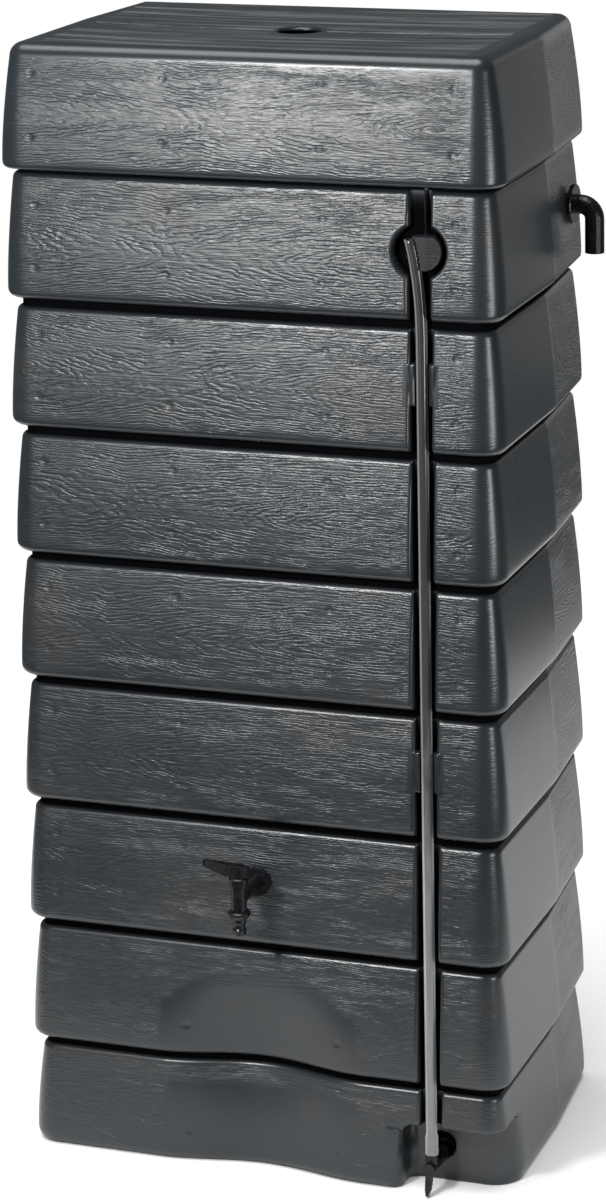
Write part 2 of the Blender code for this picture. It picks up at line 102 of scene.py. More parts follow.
LUG_TIERS = (2, 5)
LUG_HALF_HEIGHT = 0.024
LUG_ABOVE_EDGE = 0.082
LUG_LEFT, LUG_RIGHT = (0.0080, 0.0182, 0.0092), (0.0100, 0.0200, 0.0150)
LUG_FAR = 0.0203

RECESS_X = 0.180
RECESS_Y = -0.166
RECESS_TOP = 0.085
RECESS_CORNER = 0.040
POCKET = (0.2205, 0.0480, 0.0150, 0.026)

NAIL_COLUMNS = (-0.268, -0.099, 0.099, 0.262)
NAIL_ROWS = (0.040, 0.116)
NAIL_RADIUS = 0.0052
NAIL_DEPTH = 0.0007

GRAIN_END, GRAIN_FADE, GRAIN_BEYOND = 0.281, 0.008, 0.45

LID_PROUD = 0.0015
LID_FLARE = 0.013
LID_ROUND = 0.0178
LID_SAG = 0.004
LID_LIP = 0.007
LID_LEAST_RADIUS = 0.004
TOP_GRAIN, TOP_COARSE = 2.4, 0.32
FILL_HOLE = 0.056
FILL_Y = 0.001


def clamp(t, low=0.0, high=1.0):
    return min(max(t, low), high)


def smooth(t):
    t = clamp(t)
    return t * t * (3 - 2 * t)


def spread(start, end, longest):
    """Even steps from start to end, no longer than longest, both ends included."""
    steps = max(1, math.ceil(abs(end - start) / longest - 1e-6))
    return [start + (end - start) * k / steps for k in range(steps + 1)]


def merged(values, closest):
    """Sorted values with near repeats left out."""
    kept = []
    for value in sorted(values):
        if not kept or value - kept[-1] > closest:
            kept.append(value)
    return kept


# ---------------------------------------------------------------- plan of the tank
class Column:
    """A line up the wall: its point on the widest outline, its inward direction and its run."""

    def __init__(self, x, y, inward_x, inward_y, face):
        self.x, self.y = x, y
        self.inward_x, self.inward_y = inward_x, inward_y
        self.face = face
        self.run = 0.0


def corner(cx, cy, radius, start, steps, ends):
    """Columns round a quarter corner. The first and last belong to it only if ends is true."""
    made = []
    for k in range(0 if ends else 1, steps + (1 if ends else 0)):
        turn = math.radians(start + 90 * k / steps)
        c, s = math.cos(turn), math.sin(turn)
        made.append(Column(cx + radius * c, cy + radius * s, -c, -s, "corner"))
    return made


def side_at(y):
    """Half width of the widest outline at a depth y between the corners."""
    if y < KINK_Y:
        return HALF - KINK_INSET * (y - FRONT - CORNER_FRONT) / (KINK_Y - FRONT - CORNER_FRONT)
    share = (y - KINK_Y) / (BACK - CORNER_BACK - KINK_Y)
    return HALF - KINK_INSET - (BACK_INSET - KINK_INSET) * share


def front_stations():
    """Positions of the columns across the front, dense where the groove and the nails are."""
    reach = HALF - CORNER_FRONT
    values = spread(-reach, -0.150, 0.008) + spread(-0.150, RECESS_X - 0.020, 0.005)
    values += spread(0.262, reach, 0.005)
    values += spread(RECESS_X - 0.020, 0.196, 0.0024) + spread(0.196, 0.262, 0.0013)
    for nail in NAIL_COLUMNS:
        values += [nail + NAIL_RADIUS * k / 4 for k in range(-4, 5)]
    return merged(values, 0.0009)


def tank_columns():
    rf, rb = CORNER_FRONT, CORNER_BACK
    back = HALF - BACK_INSET
    sides = spread(FRONT + rf, KINK_Y - 0.003, 0.009) + [KINK_Y - 0.001, KINK_Y + 0.001]
    sides += spread(KINK_Y + 0.003, BACK - rb, 0.009)
    columns = corner(-HALF + rf, FRONT + rf, rf, 180, 12, False)
    columns += [Column(x, FRONT, 0, 1, "front") for x in front_stations()]
    columns += corner(HALF - rf, FRONT + rf, rf, 270, 12, False)
    columns += [Column(side_at(y), y, -1, 0, "right") for y in sides]
    columns += corner(back - rb, BACK - rb, rb, 0, 9, False)
    columns += [Column(x, BACK, 0, -1, "back") for x in spread(back - rb, -back + rb, 0.012)]
    columns += corner(-back + rb, BACK - rb, rb, 90, 9, False)
    columns += [Column(-side_at(y), y, 1, 0, "left") for y in reversed(sides)]
    run = 0.0
    for before, column in zip(columns, columns[1:]):
        run += math.hypot(column.x - before.x, column.y - before.y)
        column.run = run
    return columns


# ---------------------------------------------------------------- relief of the front
def niche_depth(x, z):
    """How far the niche under the tap sets the front back."""
    reach = abs(x - NICHE_X) / NICHE_HALF
    if reach >= 1:
        return 0.0
    low = 0.82 + 0.18 * smooth(z / BASE_BOARD)
    high = smooth((NICHE_TOP - z) / (NICHE_TOP - BASE_BOARD))
    return NICHE_DEPTH * min(low, high) * 0.5 * (1 + math.cos(math.pi * reach))


def lip(distance, width, steep):
    """0 outside a cut, 1 inside. distance is measured outwards from its wall; the lip is round."""
    if distance >= width:
        return 0.0
    if distance <= -steep:
        return 1.0
    if distance > 0:
        share = (width - distance) / width
        return 0.22 * (1 - math.sqrt(max(0.0, 1 - share * share)))
    return 0.22 + 0.78 * (-distance / steep) ** 0.8


def hose_x(z):
    """Middle of the level hose, which leans left near its open end."""
    lean = clamp((z - HOSE_STRAIGHT) / (HOSE_TOP - HOSE_STRAIGHT), 0, 1.15)
    return GROOVE_X - HOSE_LEAN * lean ** 2.5


def groove_share(x, z):
    """0 on the board's face, 1 on the floor of the groove, of the ring or of the hose's channel."""
    share = lip(abs(x - GROOVE_X) - GROOVE_HALF, GROOVE_LIP, 0.0014)
    if abs(z - RING_Z) > 0.05:
        return share
    out = math.hypot(x - GROOVE_X, z - RING_Z) - RING_WALL
    share = max(share, lip(out, RING_RADIUS - RING_WALL + 0.0006, 0.0022))
    boss = max(math.hypot(x - BOSS_X, z - RING_Z) - BOSS_RADIUS, z - BOSS_FLAT)
    if boss < 0:
        share = min(share, 1 - 0.9 * lip(boss + 0.0004, 0.0004, 0.0016))
    if z < HOSE_TOP + 0.0015:
        share = max(share, lip(abs(x - hose_x(z)) - HOSE_CHANNEL, 0.0007, 0.0009))
    return share


def on_rib(x, z):
    """The thin rib on the floor of the groove above the ring."""
    return z > RING_Z + 0.02 and abs(x - RIB_X) < RIB_HALF


def lug_depth(x, z):
    """Depth of the smooth pads beside the hose, or None away from them."""
    near, far, ridge = LUG_LEFT if x < GROOVE_X else LUG_RIGHT
    across = abs(x - GROOVE_X)
    for tier in LUG_TIERS:
        high = abs(z - board_edge(tier) - LUG_ABOVE_EDGE) - LUG_HALF_HEIGHT
        inside = -max(high, near - across, across - far)
        if inside > -0.0010:
            away = abs(across - ridge) / max(ridge - near, far - ridge)
            rim = 1 - clamp((inside + 0.001) / 0.002)
            return 0.0036 + 0.0040 * min(away, 1.0) ** 1.6 + 0.0015 * rim
    return None


def nail_dent(x, height):
    """Depth of the shallow dents where the boards look nailed."""
    for nail_x in NAIL_COLUMNS:
        for nail_z in NAIL_ROWS:
            away = math.hypot(x - nail_x, height - nail_z) / NAIL_RADIUS
            if away < 1:
                return NAIL_DEPTH * (1 - away ** 4)
    return 0.0


def front_depth(x, z, inset, tier):
    """Depth of the outer skin behind the front plane."""
    face = inset + niche_depth(x, z)
    if inset < FLARE + 0.001:
        face += nail_dent(x, z - board_edge(tier))
    floor = GROOVE_DEPTH + (0.001 if abs(z - RING_Z) < 0.045 else 0.0)
    if on_rib(x, z):
        floor -= RIB_HEIGHT * math.cos(math.pi / 2 * (x - RIB_X) / RIB_HALF)
    depth = face + max(0.0, floor - face) * groove_share(x, z)
    pad = lug_depth(x, z)
    return depth if pad is None else min(depth, max(pad, inset - 0.002))


def inner_front_depth(x, z, inset):
    """Depth of the inner skin behind the front plane. It steps back behind the groove and ring."""
    depth = inset + niche_depth(x, z)
    across = abs(x - GROOVE_X)
    groove = (GROOVE_DEPTH + 0.006) * clamp((0.0235 - across) / 0.003)
    ring = 0.0
    if abs(z - RING_Z) < 0.050:
        ring = (GROOVE_DEPTH + 0.008) * clamp((0.0455 - across) / 0.003)
        ring *= clamp((0.0475 - abs(z - RING_Z)) / 0.004)
    return max(depth, groove, ring)


# ---------------------------------------------------------------- board profiles
def board_edge(tier):
    """Height of a board's lower edge. Board 1 is the top one, board 8 stands on the ground."""
    return 0.0 if tier == BOARDS else SKIRT_EDGE - tier * BOARD_PITCH


def face_heights(tier, low, high):
    """Rows up a board's face: even steps, plus dense ones for its nails, lugs, ring or foot."""
    edge = board_edge(tier)
    rows = spread(low, high, 0.008)
    for nail in NAIL_ROWS:
        rows += [edge + nail + NAIL_RADIUS * k / 4 for k in range(-4, 5)]
    if tier in LUG_TIERS:
        middle = edge + LUG_ABOVE_EDGE
        for end in (-LUG_HALF_HEIGHT, LUG_HALF_HEIGHT):
            rows += [middle + end + 0.0008 * k for k in range(-3, 4)]
    if tier == 1:
        rows += spread(RING_Z - RING_RADIUS - 0.006, RING_Z + RING_RADIUS + 0.006, 0.0013)
    rows = [z for z in rows if low <= z <= high]
    return merged(rows, 0.0007)


def outer_rows(tier):
    """(inset, height) up the outside of one board, from mid neck to mid neck."""
    edge = board_edge(tier)
    top = board_edge(tier - 1) if tier > 1 else SKIRT_EDGE
    shoulder = top - (NECK_HEIGHT if tier > 1 else FIRST_NECK)
    if tier == BOARDS:
        rows = []
        for k in range(9):
            turn = math.pi / 2 * k / 8
            rows.append((BASE_RUN * (1 - math.sin(turn)), BASE_RISE * (1 - math.cos(turn))))
        low = BASE_RISE
    else:
        rows = [(NECK_INSET, edge - NECK_HEIGHT / 2), (NECK_INSET, edge - 0.002)]
        rows += [(NECK_INSET, edge), (NECK_INSET - 0.0006, edge + 0.0011)]
        rows += [(NECK_INSET - 0.0020, edge + 0.0014)]
        for k in range(1, 8):
            turn = math.pi / 2 * k / 7
            rows.append((EDGE_RUN * (1 - math.sin(turn)), edge + EDGE_RISE * (1 - math.cos(turn))))
        low = edge + EDGE_RISE
    high = shoulder - TOP_RISE
    for z in face_heights(tier, low, high)[1:-1]:
        rows.append((FLARE * ((z - low) / (high - low)) ** BULGE, z))
    for k in range(7):
        turn = math.pi / 2 * k / 6
        rows.append((FLARE + TOP_RUN * (1 - math.cos(turn)), high + TOP_RISE * math.sin(turn)))
    if tier == 1:
        rows += [(NECK_INSET, z) for z in spread(shoulder + 0.002, RIM_TOP - 0.001, 0.01)]
        rows += [(NECK_INSET + 0.0010, RIM_TOP)]
    else:
        rows += [(NECK_INSET, shoulder + 0.0015), (NECK_INSET, top - NECK_HEIGHT / 2)]
    return rows


def inner_rows(tier):
    """(inset, height) down the inside of one board, one wall thickness in."""
    edge = board_edge(tier)
    top = board_edge(tier - 1) if tier > 1 else SKIRT_EDGE
    shoulder = top - NECK_HEIGHT
    inner = NECK_INSET + WALL
    if tier == 1:
        rows = [(inner - 0.0010, RIM_TOP), (inner, RIM_TOP - 0.001)]
    else:
        rows = [(inner, top - NECK_HEIGHT / 2)]
    rows += [(inner, shoulder - WALL), (FLARE + WALL, shoulder - TOP_RISE - WALL)]
    low = edge + EDGE_RISE + WALL
    if tier == BOARDS:
        low = BASE_RISE + 0.001
    high = shoulder - TOP_RISE - WALL
    steps = spread(high, low, 0.020)[1:-1]
    if tier == 1:
        steps += [RING_Z + k for k in (0.050, 0.0475, 0.0435, -0.0435, -0.0475, -0.050)]
    if tier == BOARDS:
        steps += [0.0815, 0.0785, 0.0165, 0.0135]
    for z in sorted(set(steps), reverse=True):
        if low < z < high:
            rows.append((FLARE * (z - low) / (high - low) + WALL, z))
    if tier == BOARDS:
        rows += [(WALL, low), (BASE_RUN * 0.4 + WALL, WALL + 0.003), (BASE_RUN + WALL, WALL)]
    else:
        rows += [(WALL + 0.0005, low), (inner, edge + WALL), (inner, edge - NECK_HEIGHT / 2)]
    return rows


# ---------------------------------------------------------------- where the grain is
def grain_share(column, z, inset, tier):
    """1 where the board shows wood grain, 0 where the moulding is smooth."""
    height = z - board_edge(tier)
    top = (board_edge(tier - 1) - NECK_HEIGHT if tier > 1 else SKIRT_EDGE - FIRST_NECK) - z
    share = clamp((height - 0.006) / 0.006) * clamp((top - 0.003) / 0.005)
    x, y = column.x, column.y
    if column.face == "front":
        share *= front_grain(x)
        share *= clamp((abs(x - GROOVE_X) - GROOVE_HALF - GROOVE_LIP) / 0.002)
        ring = math.hypot(x - GROOVE_X, z - RING_Z) - RING_RADIUS - 0.001
        share *= clamp(ring / 0.002)
        if tier in LUG_TIERS and abs(height - LUG_ABOVE_EDGE) < LUG_HALF_HEIGHT + 0.002:
            share *= clamp((abs(x - GROOVE_X) - LUG_FAR - 0.001) / 0.002)
        share *= 1 - niche_smooth(x, z)
        boss = math.hypot(x - BOSS_X, z - RING_Z) - BOSS_RADIUS + 0.003
        share = max(share, 0.8 * clamp(-boss / 0.002) * clamp((x - GROOVE_X - 0.006) / 0.004))
    elif column.face in ("right", "left"):
        share *= clamp((y - KINK_Y - 0.001) / 0.003)
    elif column.face == "corner" and y < 0:
        share *= corner_grain(column)
    return share


def front_grain(x):
    """The grain is full across the front and fainter beyond its right end."""
    return GRAIN_BEYOND + (1 - GRAIN_BEYOND) * clamp((GRAIN_END - x) / GRAIN_FADE)


def corner_grain(column):
    """The grain fades out round the front left corner, and is faint on the front right one."""
    turned_away = abs(column.inward_x)
    if column.x < 0:
        return 1 - smooth((turned_away - 0.35) / 0.4)
    return 0.45 * (1 - smooth((turned_away - 0.5) / 0.4))


def niche_smooth(x, z):
    """1 on the smooth panels of the niche under the tap."""
    across = abs(x - NICHE_X)
    if z > BASE_BOARD:
        tall = 0.104 - 0.022 * smooth((across - 0.075) / 0.055) * 1.4
        return clamp((BASE_BOARD + tall - z) / 0.004) * clamp((0.131 - across) / 0.004)
    return clamp((0.108 - z) / 0.004) * clamp((0.127 - across) / 0.004)


# ---------------------------------------------------------------- mesh from a grid of points
def mesh_from_grid(name, rows, uvs, shares, caps=(), shades=None):
    """A closed skin through rings of points. rows run from the first ring to the last; when
    caps names no end, the last ring joins the first. Faces keep a grain UV and a grain share."""
    count = len(rows[0])
    verts = [point for row in rows for point in row]
    faces, loops = [], []
    pairs = list(range(len(rows) - 1)) + ([] if caps else [len(rows) - 1])
    for j in pairs:
        k = (j + 1) % len(rows)
        for i in range(count):
            n = (i + 1) % count
            faces.append((j * count + i, j * count + n, k * count + n, k * count + i))
            right = uvs[j][n] if n else uvs[j][count]
            right_up = uvs[k][n] if n else uvs[k][count]
            loops += [uvs[j][i], right, right_up, uvs[k][i]]
    if "first" in caps:
        faces.append(tuple(reversed(range(count))))
        loops += [(rows[0][i][0], rows[0][i][1]) for i in reversed(range(count))]
    if "last" in caps:
        start = (len(rows) - 1) * count
        faces.append(tuple(range(start, start + count)))
        loops += [(point[0], point[1]) for point in rows[-1]]
    mesh = bpy.data.meshes.new(name)
    mesh.from_pydata(verts, [], faces)
    layer = mesh.uv_layers.new(name="grain")
    for loop, (u, v) in zip(layer.data, loops):
        loop.uv = (u, v)
    share = mesh.attributes.new("grain_share", "FLOAT", "POINT")
    share.data.foreach_set("value", [value for row in shares for value in row])
    # shades is painted shade, kept as a point attribute.
    if shades:
        shade = mesh.attributes.new("hollow", "FLOAT", "POINT")
        shade.data.foreach_set("value", [value for row in shades for value in row])
    mesh.update()
    return mesh


def put(name, mesh, finish, body, slot, *nodes):
    """Links a finished mesh as a piece that rides on a body and stands for CAD nodes."""
    item = bpy.data.objects.new(name, mesh)
    bpy.context.scene.collection.objects.link(item)
    mesh.materials.clear()
    mesh.materials.append(finish)
    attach(item, body)
    if nodes:
        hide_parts(*nodes)
    return item


def soften(item, sharp=40):
    item.data.shade_smooth()
    item.data.set_sharp_from_angle(angle=math.radians(sharp))
    return item


# ---------------------------------------------------------------- the foot of the front right corner
FOOT_BAND = 0.009
EDGE_ROUND_FOOT = 0.006
WALL_ARC = 0.019
NOOK_ARC = 0.015
ARC_RUN, WALL_RUN, NOOK_RUN = 0.019, 0.025, 0.035


def foot_target(column, z, inset):
    """(x, y, inward_x, inward_y, weight) of the set-back outline at the foot, for columns that
    have one: round the left edge, along the left wall, across the face, round to the side."""
    if column.face == "front":
        x = column.x
        start = RECESS_X - WALL_ARC
        if x < start:
            return None
        face_y = FRONT + inset
        run = x - start
        if run < ARC_RUN:
            turn = math.pi / 2 * run / ARC_RUN
            px = start + WALL_ARC * math.sin(turn)
            py = face_y + WALL_ARC * (1 - math.cos(turn))
            return px, py, -math.sin(turn), math.cos(turn), run / ARC_RUN
        wall_start, wall_end = face_y + WALL_ARC, RECESS_Y - NOOK_ARC
        if run < WALL_RUN:
            share = (run - ARC_RUN) / (WALL_RUN - ARC_RUN)
            return RECESS_X, wall_start + (wall_end - wall_start) * share, -1.0, 0.0, 1.0
        if run < NOOK_RUN:
            turn = math.pi / 2 * (run - WALL_RUN) / (NOOK_RUN - WALL_RUN)
            px = RECESS_X + NOOK_ARC * (1 - math.cos(turn))
            return px, wall_end + NOOK_ARC * math.sin(turn), -math.cos(turn), math.sin(turn), 1.0
        reach = x
        if run < NOOK_RUN + 0.004:
            first = RECESS_X + NOOK_ARC
            reach = first + (start + NOOK_RUN + 0.004 - first) * (run - NOOK_RUN) / 0.004
        elif x > 0.262:
            reach = 0.262 + (HALF - inset - RECESS_CORNER - 0.262) * (x - 0.262) / 0.020
        return reach, RECESS_Y + pocket_depth(reach, z), 0.0, 1.0, 1.0
    if column.face == "right" or (column.face == "corner" and column.x > 0 and column.y < 0):
        end_y = RECESS_Y + RECESS_CORNER
        if column.face == "corner":
            turn = math.atan2(column.y - FRONT - CORNER_FRONT, column.x - HALF + CORNER_FRONT)
            share = (turn + math.pi / 2) / (math.pi / 2) * 0.55
        else:
            share = 0.55 + 0.45 * (column.y - FRONT - CORNER_FRONT) / (end_y - FRONT - CORNER_FRONT)
        if share >= 1:
            return None
        turn = math.pi / 2 * share
        side = side_at(max(column.y, FRONT + CORNER_FRONT)) - inset
        px = side - RECESS_CORNER * (1 - math.sin(turn))
        py = RECESS_Y + RECESS_CORNER * (1 - math.cos(turn))
        weight = smooth((1 - share) / 0.25)
        return px, py, -math.sin(turn), math.cos(turn), weight
    return None


def pocket_depth(x, z):
    """The round pocket that the level tap is screwed into."""
    middle_x, middle_z, radius, depth = POCKET
    out = math.hypot(x - middle_x, z - middle_z) - radius
    if out > 0.003:
        return 0.0
    return depth * smooth((0.003 - out) / 0.006)


LEDGE_TURN, LEDGE_TURN_X = 0.012, 0.193


def ledge_height(column):
    """Height of the ledge over the foot recess. It turns down at the left wall."""
    if column.face == "front":
        across = clamp((LEDGE_TURN_X - column.x) / LEDGE_TURN, 0, 0.97)
        return RECESS_TOP - LEDGE_TURN * (1 - math.sqrt(1 - across ** 2))
    return RECESS_TOP


# Rows of the ledge from the recess up: (share of the recess, extra inset, rise above the ledge).
LEDGE_ROWS = [(1.0, 0.0, -0.005), (0.985, 0.0, -0.0022), (0.95, 0.0, -0.0005), (0.85, 0.0, 0.0)]
LEDGE_ROWS += [(0.5, EDGE_ROUND_FOOT, 0.0), (0.12, EDGE_ROUND_FOOT, 0.0)]
for step in range(7):
    lift = math.pi / 2 * step / 6
    inward, rise = 1 - math.sin(lift), 1 - math.cos(lift)
    LEDGE_ROWS.append((0.0, EDGE_ROUND_FOOT * inward, EDGE_ROUND_FOOT * rise))


def foot_rows():
    """(inset, height, ledge row or None, recess share) up the outside of board 8."""
    rows = []
    ledge_low, ledge_high = RECESS_TOP - 0.013, RECESS_TOP + EDGE_ROUND_FOOT
    base = outer_rows(BOARDS)
    high = board_edge(BOARDS - 1) - NECK_HEIGHT - TOP_RISE

    def face_inset(z):
        return FLARE * clamp((z - BASE_RISE) / (high - BASE_RISE)) ** BULGE

    for inset, z in base:
        if z < BASE_RISE - 1e-6:
            rows.append((inset, z, None, 1.0))
    dense = merged(spread(BASE_RISE, ledge_low, 0.0024), 0.0007)
    rows += [(face_inset(z), z, None, 1.0) for z in dense]
    count = len(LEDGE_ROWS)
    for k, (share, extra, rise) in enumerate(LEDGE_ROWS):
        z = ledge_low + (ledge_high + 0.0008 - ledge_low) * (k + 1) / count
        rows.append((face_inset(z), z, (extra, rise), share))
    for inset, z in base:
        if z > ledge_high + 0.0012:
            rows.append((inset, z, None, 0.0))
    return rows


def foot_point(column, row):
    """A point on the outer skin of board 8, on its own outline or on the set-back one."""
    inset, z, ledge, share = row
    target = foot_target(column, z, inset if z > BASE_RISE else 0.0)
    extra = 0.0
    height = z
    if target is not None and ledge is not None:
        weight = target[4]
        extra = ledge[0] * weight
        height = z + (ledge_height(column) + ledge[1] - z) * weight
    if target is None:
        share = 0.0
    if column.face == "front":
        x, y = column.x, FRONT + front_depth(column.x, height, inset, BOARDS) + extra
    else:
        x = column.x + column.inward_x * (inset + extra)
        y = column.y + column.inward_y * (inset + extra)
    if share:
        tx, ty, inward_x, inward_y, weight = target
        low = 0.0
        if z < BASE_RISE:
            low = 0.004 * (1 - math.sin(math.acos(clamp(1 - z / BASE_RISE))))
            low = max(low, inset * (1 - weight))
        tx, ty = tx + inward_x * low, ty + inward_y * low
        x, y = x + (tx - x) * share, y + (ty - y) * share
    return x, y, height


def foot_inner_point(column, inset, z, share):
    """The inner skin of board 8, one wall thickness inside the outer one."""
    if column.face == "front":
        x, y = column.x, FRONT + inner_front_depth(column.x, z, inset)
    else:
        x, y = column.x + column.inward_x * inset, column.y + column.inward_y * inset
    target = foot_target(column, z, inset)
    if share and target is not None:
        tx, ty, inward_x, inward_y, weight = target
        if column.face == "front" and column.x > RECESS_X + 0.012:
            behind_pocket = 0.0150 < z < 0.0800 and abs(tx - POCKET[0]) < 0.033
            ty = RECESS_Y + (POCKET[3] if behind_pocket else 0.0)
        tx, ty = tx + inward_x * WALL, ty + inward_y * WALL
        x, y = x + (tx - x) * share, y + (ty - y) * share
    return x, y, z


# ---------------------------------------------------------------- boards of the tank
def runs_round(columns):
    """Distances along the outline of all columns, and of the first one again at the end."""
    first, last = columns[0], columns[-1]
    closing = math.hypot(first.x - last.x, first.y - last.y)
    return [column.run for column in columns] + [last.run + closing]


def outer_point(column, inset, z, tier):
    if column.face == "front":
        return column.x, FRONT + front_depth(column.x, z, inset, tier), z
    return column.x + column.inward_x * inset, column.y + column.inward_y * inset, z


def inner_point(column, inset, z):
    if column.face == "front":
        return column.x, FRONT + inner_front_depth(column.x, z, inset), z
    return column.x + column.inward_x * inset, column.y + column.inward_y * inset, z


def make_board(tier, columns, finish):
    """One moulded board of the tank, all the way round, with its inner skin."""
    edge = board_edge(tier)
    points, uvs, shares, shades = [], [], [], []
    runs = runs_round(columns)
    shift = 4.37 * tier
    if tier == BOARDS:
        outer = foot_rows()
        for row in outer:
            ring = [foot_point(column, row) for column in columns]
            points.append(ring)
            grained = row[3] == 0
            shares.append([
                grain_share(column, point[2], row[0], tier)
                if grained or not in_recess(column) else 0.0
                for column, point in zip(columns, ring)
            ])
            uvs.append([(run + shift, row[1] - edge) for run in runs])
            # Painted shade: in the foot recess only the tap's pocket is darkened, for its shadow.
            shades.append([
                smooth(pocket_depth(point[0], point[2]) / 0.006)
                if row[3] and in_recess(column) else hollow(column, point, row[0])
                for column, point in zip(columns, ring)
            ])
        lip_z = RECESS_TOP + WALL
        inner = [(inset, z, 1.0 if z < lip_z + 0.001 else 0.0) for inset, z in inner_rows(tier)]
        at = next(k for k, row in enumerate(inner) if row[1] < lip_z)
        lip_inset = inner[at][0]
        inner[at:at] = [(lip_inset, lip_z + 0.0006, 0.0), (lip_inset, lip_z, 1.0)]
        for inset, z, share in inner:
            points.append([foot_inner_point(column, inset, z, share) for column in columns])
            shares.append([0.0] * len(columns))
            shades.append([0.0] * len(columns))
            uvs.append([(run + shift, 0.3 + z) for run in runs])
        mesh = mesh_from_grid(f"board_{tier}", points, uvs, shares, ("first", "last"), shades)
    else:
        for inset, z in outer_rows(tier):
            points.append([outer_point(column, inset, z, tier) for column in columns])
            shares.append([grain_share(column, z, inset, tier) for column in columns])
            shades.append([hollow(*pair, inset) for pair in zip(columns, points[-1])])
            uvs.append([(run + shift, z - edge) for run in runs])
        for inset, z in inner_rows(tier):
            points.append([inner_point(column, inset, z) for column in columns])
            shares.append([0.0] * len(columns))
            shades.append([0.0] * len(columns))
            uvs.append([(run + shift, 0.3 + z - edge) for run in runs])
        mesh = mesh_from_grid(f"board_{tier}", points, uvs, shares, (), shades)
    return soften(put(f"tank_board_{tier}", mesh, finish, "barrel", "tank_plastic", "barrel_body"))


def hollow(column, point, inset):
    """Painted shade, 1 in the necks, groove and ring where shade falls, 0 on the boards' faces."""
    share = smooth((inset - FLARE - 0.0030) / 0.0035)
    if column.face == "front":
        depth = point[1] - FRONT - inset - niche_depth(point[0], point[2])
        share = max(share, smooth((depth - 0.0045) / 0.0050))
        # The boss's face is darkened too, to at least 0.55.
        if math.hypot(point[0] - BOSS_X, point[2] - RING_Z) < BOSS_RADIUS:
            share = max(share, 0.55)
        # The rib is kept nearly free of the painted shade.
        if on_rib(point[0], point[2]) and depth < 0.012:
            share = 0.1
    return share


def in_recess(column):
    """Whether the column is part of the set-back foot."""
    return foot_target(column, 0.05, 0.0) is not None


# ---------------------------------------------------------------- lid
def lid_columns():
    """Rings of the lid have equal counts on opposite sides, so that the top is a neat grid."""
    rf, rb = CORNER_FRONT, CORNER_BACK
    back = HALF - BACK_INSET
    front = front_lid_stations()
    share = [(x + HALF - rf) / (2 * (HALF - rf)) for x in front]
    sides = lid_side_stations()
    columns = corner(-HALF + rf, FRONT + rf, rf, 180, 12, False)[5:]
    columns += [Column(x, FRONT, 0, 1, "front") for x in front]
    columns += corner(HALF - rf, FRONT + rf, rf, 270, 12, False)
    columns += [Column(side_at(y), y, -1, 0, "right") for y in sides]
    columns += corner(back - rb, BACK - rb, rb, 0, 12, False)
    columns += [Column((back - rb) * (1 - 2 * s), BACK, 0, -1, "back") for s in share]
    columns += corner(-back + rb, BACK - rb, rb, 90, 12, False)
    columns += [Column(-side_at(y), y, 1, 0, "left") for y in reversed(sides)]
    columns += corner(-HALF + rf, FRONT + rf, rf, 180, 12, False)[:5]
    run = 0.0
    for before, column in zip(columns, columns[1:]):
        run += math.hypot(column.x - before.x, column.y - before.y)
        column.run = run
    return columns, len(front) + 12, len(sides) + 12


def front_lid_stations():
    reach = HALF - CORNER_FRONT
    values = spread(-reach, reach, 0.0075)
    for nail in NAIL_COLUMNS:
        values += [nail + NAIL_RADIUS * k / 4 for k in range(-4, 5)]
    return merged(values, 0.0009)


def lid_side_stations():
    values = spread(FRONT + CORNER_FRONT, FILL_Y - 0.012, 0.009)
    values += spread(FILL_Y - 0.010, FILL_Y + 0.010, 0.00125)
    values += spread(FILL_Y + 0.012, BACK - CORNER_BACK, 0.009)
    return merged(values, 0.0009)


def lid_point(column, inset, z, dent=0.0):
    """Like the tank's outline, but a corner keeps a radius of at least 4 mm however far in."""
    if column.face != "corner":
        deep = inset + dent
        return column.x + column.inward_x * deep, column.y + column.inward_y * deep, z
    radius = CORNER_FRONT if column.y < 0 else CORNER_BACK
    out_x, out_y = -column.inward_x, -column.inward_y
    centre_x, centre_y = column.x - out_x * radius, column.y - out_y * radius
    left = radius - inset
    if left < LID_LEAST_RADIUS:
        move = LID_LEAST_RADIUS - left
        centre_x -= math.copysign(move, centre_x)
        centre_y -= math.copysign(move, centre_y)
        left = LID_LEAST_RADIUS
    return centre_x + out_x * left, centre_y + out_y * left, z


def lid_sag(x, y):
    """How far the top hangs below its edge: a soft sag, and the joint between two boards."""
    across = clamp(1 - (x / (HALF - 0.030)) ** 2)
    deep = clamp(1 - (y / (BACK - 0.030)) ** 2)
    sag = LID_SAG * (across * deep) ** 0.8
    ends = clamp((HALF - 0.036 - abs(x)) / 0.012)
    joint = 0.0022 * math.exp(-((y - FILL_Y) / 0.0030) ** 2) * smooth(ends)
    return sag + joint


